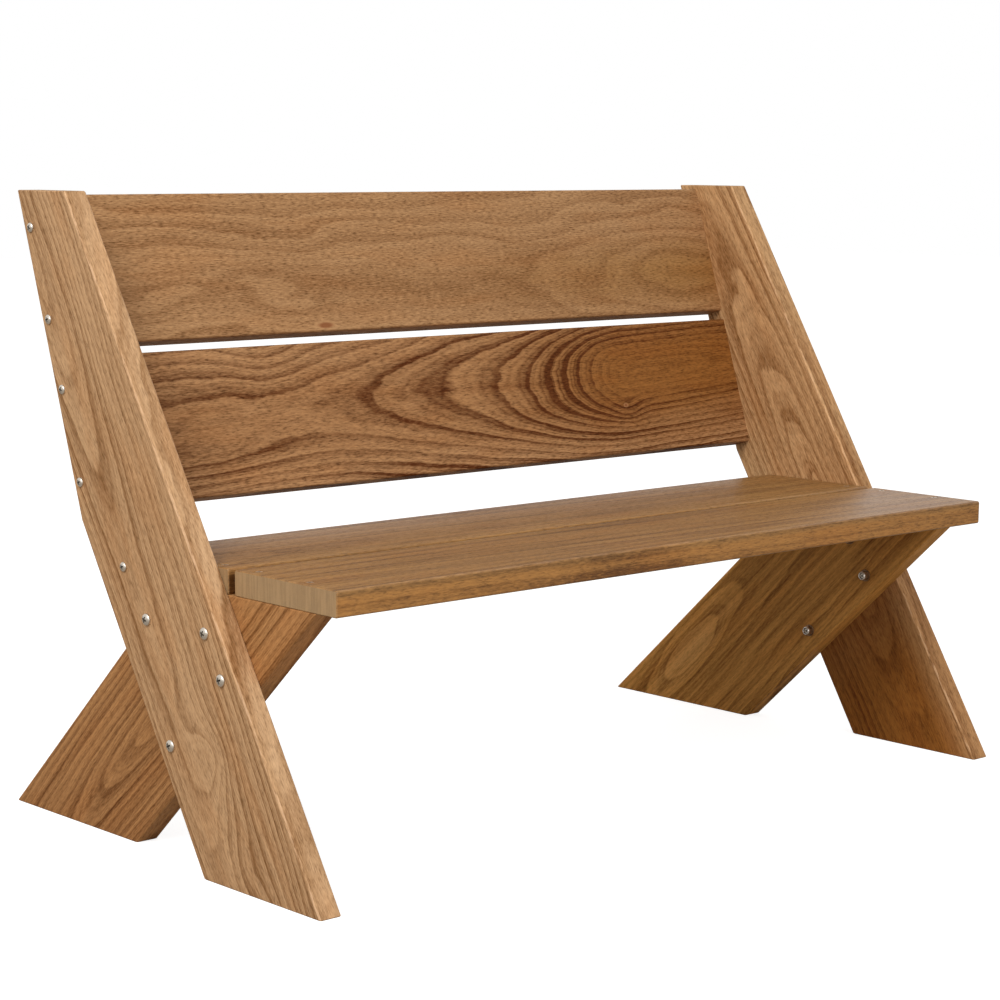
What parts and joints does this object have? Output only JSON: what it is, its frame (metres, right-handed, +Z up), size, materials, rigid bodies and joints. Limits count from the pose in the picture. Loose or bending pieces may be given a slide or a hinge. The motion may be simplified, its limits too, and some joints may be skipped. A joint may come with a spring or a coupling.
{
  "type": "outdoor bench",
  "caption": "Low plank bench with slant-cut side rails crossed by slanted legs, a split two-board seat and a leaning two-board back, bolted and screwed together.",
  "frame": {"origin": "on the ground, under the middle of the bench", "axes": "+X along the bench to the right of someone who faces it, -Y to the front, +Z up"},
  "size_m": [1.21, 0.688, 0.7961],
  "materials": {
    "side_rail_wood": "oiled hardwood with short open pores, satin",
    "cross_leg_wood": "oiled hardwood with short open pores, satin",
    "top_back_wood": "oiled hardwood with short open pores, satin",
    "lower_back_wood": "oiled hardwood with short open pores, satin",
    "seat_wood": "oiled hardwood with short open pores, satin",
    "stainless_steel": "polished stainless steel"
  },
  "bodies": {
    "root": {"left_side_rail": "side_rail_wood", "left_cross_leg": "cross_leg_wood", "right_side_rail": "side_rail_wood", "right_cross_leg": "cross_leg_wood", "top_back_board": "top_back_wood", "lower_back_board": "lower_back_wood", "rear_seat_board": "seat_wood", "front_seat_board": "seat_wood", "left_frame_bolts": "stainless_steel", "left_frame_washers": "stainless_steel", "left_frame_nuts": "stainless_steel", "left_top_back_screws": "stainless_steel", "left_lower_back_screws": "stainless_steel", "left_seat_end_screw": "stainless_steel", "right_frame_bolts": "stainless_steel", "right_frame_washers": "stainless_steel", "right_frame_nuts": "stainless_steel", "right_top_back_screws": "stainless_steel", "right_lower_back_screws": "stainless_steel", "right_seat_end_screw": "stainless_steel", "rear_seat_screws": "stainless_steel", "front_seat_screws": "stainless_steel"}
  },
  "joints": []
}
